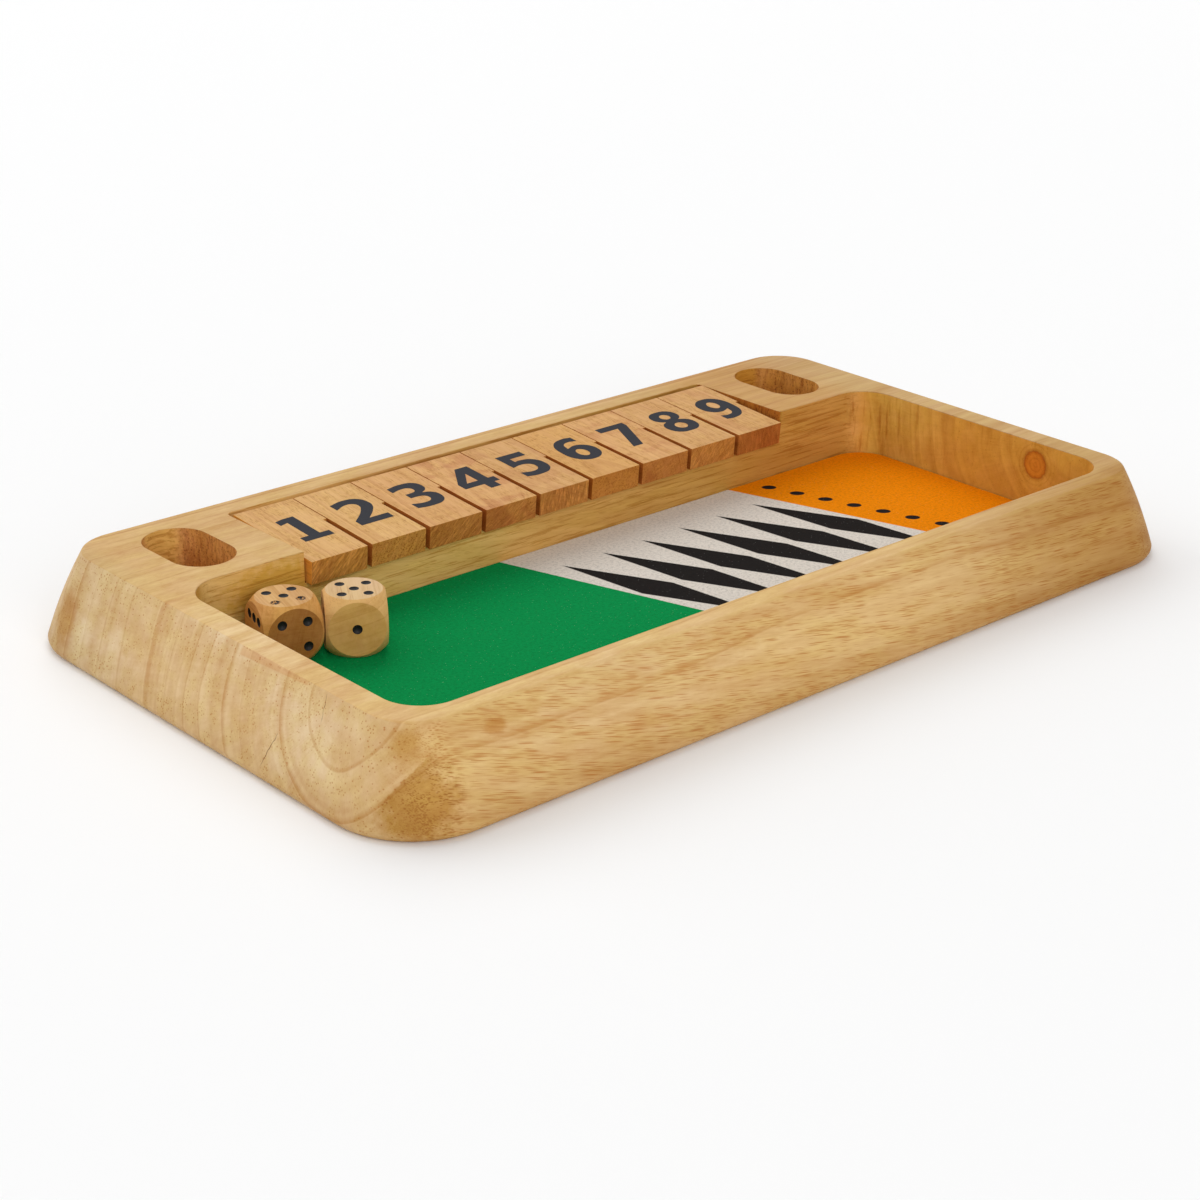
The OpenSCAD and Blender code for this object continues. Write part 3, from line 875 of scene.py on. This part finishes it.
def print_numeral(number, on_tile):
    """A flat inked figure, in the tile's own measure, then laid on the tile."""
    curve = bpy.data.curves.new("figure", "CURVE")
    curve.dimensions = "2D"
    curve.fill_mode = "BOTH"
    curve.extrude = ink_thickness / 2
    curve.resolution_u = 8
    for outline in numerals[number]:
        spline = curve.splines.new("BEZIER")
        spline.bezier_points.add(len(outline) - 1)
        spline.use_cyclic_u = True
        for knot, (x, y, *corner) in zip(spline.bezier_points, outline):
            knot.co = (x / 100, y / 100, 0)
            knot.handle_left_type = knot.handle_right_type = "VECTOR" if corner else "AUTO"
    drawing = bpy.data.objects.new("figure", curve)
    scene.collection.objects.link(drawing)
    flat = as_mesh(drawing)
    bpy.data.objects.remove(drawing)
    bpy.data.curves.remove(curve)
    bm = bmesh.new()
    bm.from_mesh(flat)
    bpy.data.meshes.remove(flat)
    bmesh.ops.remove_doubles(bm, verts=bm.verts, dist=same_place)
    middle = (min(v.co.x for v in bm.verts) + max(v.co.x for v in bm.verts)) / 2
    move(bm, (-middle, -0.5, 0), bm.verts)
    bmesh.ops.scale(bm, vec=(numeral_height, numeral_height, 1), verts=bm.verts)
    move(bm, (0, numeral_middle, tile_thickness / 2 + ink_thickness / 2), bm.verts)
    bmesh.ops.transform(bm, matrix=on_tile, verts=bm.verts)
    bmesh.ops.recalc_face_normals(bm, faces=bm.faces)
    return bm


for index in range(tile_count):
    number = index + 1
    left = (index - tile_count / 2) * tile_pitch + (tile_pitch - tile_width) / 2
    on_rod = Matrix.Translation((left, hinge_y, hinge_height)) @ Matrix.Rotation(tile_slope, 4, "X")
    tile_bm = bmesh.new()
    bmesh.ops.create_cube(tile_bm, size=1)
    front_width = tile_width - relief_depth
    bmesh.ops.scale(tile_bm, vec=(front_width, tile_length, tile_thickness), verts=tile_bm.verts)
    from_hinge = tile_setback - tile_length / 2
    move(tile_bm, (front_width / 2, from_hinge, 0), tile_bm.verts)
    shoulder = tile_setback - tile_length + relief_length
    bmesh.ops.bisect_plane(tile_bm, geom=tile_bm.verts[:] + tile_bm.edges[:] + tile_bm.faces[:],
                           plane_co=(0, shoulder, 0), plane_no=(0, 1, 0), dist=same_place / 100)
    rear_side = [f for f in tile_bm.faces if f.normal.x > 0.9 and f.calc_center_median().y > shoulder]
    widened = bmesh.ops.extrude_face_region(tile_bm, geom=rear_side)["geom"]
    move(tile_bm, (relief_depth, 0, 0), points_in(widened))
    bmesh.ops.delete(tile_bm, geom=rear_side, context="FACES_ONLY")
    bmesh.ops.recalc_face_normals(tile_bm, faces=tile_bm.faces)
    tile_bm = carve(tile_bm, [round_bar(-tile_width / 4, tile_width * 5 / 4, bore_radius, 32)])
    ease(tile_bm, tile_easing, lambda e: True, 2)
    bmesh.ops.transform(tile_bm, matrix=on_rod, verts=tile_bm.verts)
    tile = finish_piece(f"number_tile_{number}", tile_bm, f"tile_{number}", tile_wood)
    for label, drawn in (("board_tone", board_of_tile[index]), ("end_figure", end_figure_of_tile[index])):
        for value in tile.data.attributes.new(label, "FLOAT_COLOR", "POINT").data:
            value.color = drawn
    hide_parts(f"tile_{number}")
    shift = numeral_shift + (one_shift if number == 1 else 0)
    in_middle = on_rod @ Matrix.Translation((tile_width / 2 + shift, 0, 0))
    finish_piece(f"numeral_{number}", print_numeral(number, in_middle), f"tile_{number}", ink)

# ------------------------------
# Dice: two sixteen-millimetre cubes of the same pale wood, tumbled to a ball until their
# corners are round, with pips drilled by a ball-nosed bit and filled with black paint.
die_size = 0.016
die_ball = 0.0218
die_easing = 0.0004
pip_spacing = 0.0034
pip_radius = 0.00132
pip_depth = 0.0006
pip_ball = (pip_radius ** 2 + pip_depth ** 2) / (2 * pip_depth)
two_pips = [(-1, 1), (1, -1)]
four_pips = two_pips + [(1, 1), (-1, -1)]
pip_places = {1: [(0, 0)], 2: two_pips, 3: two_pips + [(0, 0)], 4: four_pips, 5: four_pips + [(0, 0)],
              6: four_pips + [(0, 1), (0, -1)]}


def dice_wood(name, turn, look, side_tint, end_tint, ball_tint):
    """Close-grained sapwood. The tumbled ball between the six faces takes more lacquer than they do."""
    material, shader = new_material(name)
    colour = lacquered_wood(
        shader, place_on(shader), turn=(0, 0, -turn - pi / 2), bump=0.06, ring_width=2.6, ring_strength=0.4,
        band_strength=0.4, pore_amount=0.3, pore=srgb(160, 108, 60), end_tint=(1, 1, 1, 1), **look)[0]
    square_on = parts_of(vector_maths("ABSOLUTE", turned_to_grain(facing_of(shader), (0, 0, -turn))))
    squarest = maths("MAXIMUM", square_on[0], maths("MAXIMUM", square_on[1], square_on[2]))
    colour = tinted(colour, (ramp(square_on[0], 0.84, 0.97), side_tint),
                    (ramp(square_on[1], 0.84, 0.97), end_tint), (ramp(squarest, 0.995, 0.78), ball_tint))
    fill(shader, {"Base Color": colour})
    return material


def pip_paint(name, chipped):
    """Black paint pooled in the pips; in a chipped pip the wood shows through it."""
    material, shader = new_material(name)
    place = place_on(shader)
    pool = noise(place, 2, 3)
    colour = mix(pool, srgb(16, 16, 18), srgb(34, 32, 32))
    for centre in chipped:
        bare = patch(place, centre, (1.5, 1.5, 1.5), ragged=0.1, soft=0.2)
        colour = mix(times(ramp(pool, 0.5, 0.56), bare), colour, srgb(188, 138, 82))
    fill(shader, {"Base Color": colour, "Roughness": ramp(pool, 0.3, 0.7, 0.4, 0.6),
                  "Specular IOR Level": 0.2})
    return material


def make_die(name, body, turn, faces, wood, chipped=()):
    """faces: the pips on the front, right, back and left; five is on top and two below."""
    low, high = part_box(body)
    on_table = Matrix.Translation((low + high) / 2) @ Matrix.Rotation(turn, 4, "Z")
    paint = pip_paint(f"{name}_paint", [
        1000 * (on_table @ Vector((across * pip_spacing, along * pip_spacing, die_size / 2)))
        for across, along in chipped])
    die_bm = bmesh.new()
    bmesh.ops.create_cube(die_bm, size=die_size)
    ball_bm = bmesh.new()
    bmesh.ops.create_icosphere(ball_bm, subdivisions=5, radius=die_ball / 2)
    die_bm = carve(die_bm, [ball_bm], action="INTERSECT")
    ease(die_bm, die_easing, lambda e: True, 4)
    pips_bm = bmesh.new()
    sides = [Matrix.Rotation(i * pi / 2, 4, "Z") @ Matrix.Rotation(pi / 2, 4, "X") for i in range(4)]
    for count, side in zip(list(faces) + [5, 2], sides + [Matrix.Identity(4), Matrix.Rotation(pi, 4, "X")]):
        for across, along in pip_places[count]:
            ball_height = die_size / 2 + pip_ball - pip_depth
            at = side @ Matrix.Translation((across * pip_spacing, along * pip_spacing, ball_height))
            bmesh.ops.create_uvsphere(pips_bm, u_segments=20, v_segments=12, radius=pip_ball, matrix=at)
    for face in pips_bm.faces:
        face.material_index = 1
    die_bm = carve(die_bm, [pips_bm], materials=(wood, paint))
    bmesh.ops.transform(die_bm, matrix=on_table, verts=die_bm.verts)
    die = finish_piece(name, die_bm, body, wood)
    die.data.materials.append(paint)
    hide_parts(body)


# both dice show their end grain to the player; the left one is darker
left_turn, right_turn = radians(-15), radians(-31.5)
left_wood = dice_wood(
    "left_die_wood", left_turn,
    dict(heart=(0, 70, 8), figure=2.4, pale=srgb(214, 168, 112), dark=srgb(188, 136, 78)),
    side_tint=(1.12, 0.94, 0.72), end_tint=(0.64, 0.46, 0.3), ball_tint=(1.04, 0.94, 0.7))
right_wood = dice_wood(
    "right_die_wood", right_turn,
    dict(heart=(0, -20, -300), figure=1.6, pale=srgb(216, 180, 136), dark=srgb(192, 150, 100)),
    side_tint=(1, 0.96, 0.86), end_tint=(1.04, 0.88, 0.58), ball_tint=(1.12, 1, 0.78))
make_die("left_die", "die_left", left_turn, (4, 1, 3, 6), left_wood, chipped=[(-1, -1), (1, -1)])
make_die("right_die", "die_right", right_turn, (1, 3, 6, 4), right_wood)

# ------------------------------
# Table, light and air: a pale table top in a plain white room, under three wide soft lights
# that leave no hard shadow.
table_radius = 3
lamp_spread = radians(50)
room_light = 0.47
table_bm = bmesh.new()
bmesh.ops.create_circle(table_bm, cap_ends=True, segments=96, radius=table_radius)
table_material, table_shader = new_material("pale_table")
fill(table_shader, {"Base Color": (0.93, 0.93, 0.93, 1), "Roughness": 0.8})
table = finish_piece("table_top", table_bm, None, table_material)

# large soft sources: in front of the table, behind it on the right and behind it on the left
for name, azimuth, elevation, power in (
        ("front_light", -20, 25, 1.27), ("back_light", 150, 50, 1.11), ("left_light", -150, 25, 0.84)):
    light_data = bpy.data.lights.new(name, "SUN")
    light_data.angle = lamp_spread
    light_data.energy = power
    light = bpy.data.objects.new(name, light_data)
    place_facing(light, towards(azimuth, elevation), towards(azimuth, elevation))

room = bpy.data.worlds.new("white_room")
room.use_nodes = True
scene.world = room
room_tree = room.node_tree
room_tree.nodes.clear()
# the room is a plain white to the eye, but lights the tray less than that
light_path = node(room_tree, "ShaderNodeLightPath").outputs
seen = maths("MAXIMUM", light_path["Is Glossy Ray"], light_path["Is Transmission Ray"])
seen = maths("MAXIMUM", light_path["Is Camera Ray"], seen)
strength = sloped(seen, 1 - room_light, room_light)
air = joined("Background", {"Color": (1, 1, 1, 1), "Strength": strength})
node(room_tree, "ShaderNodeOutputWorld", {0: air[0]})
scene.view_settings.view_transform = "Standard"
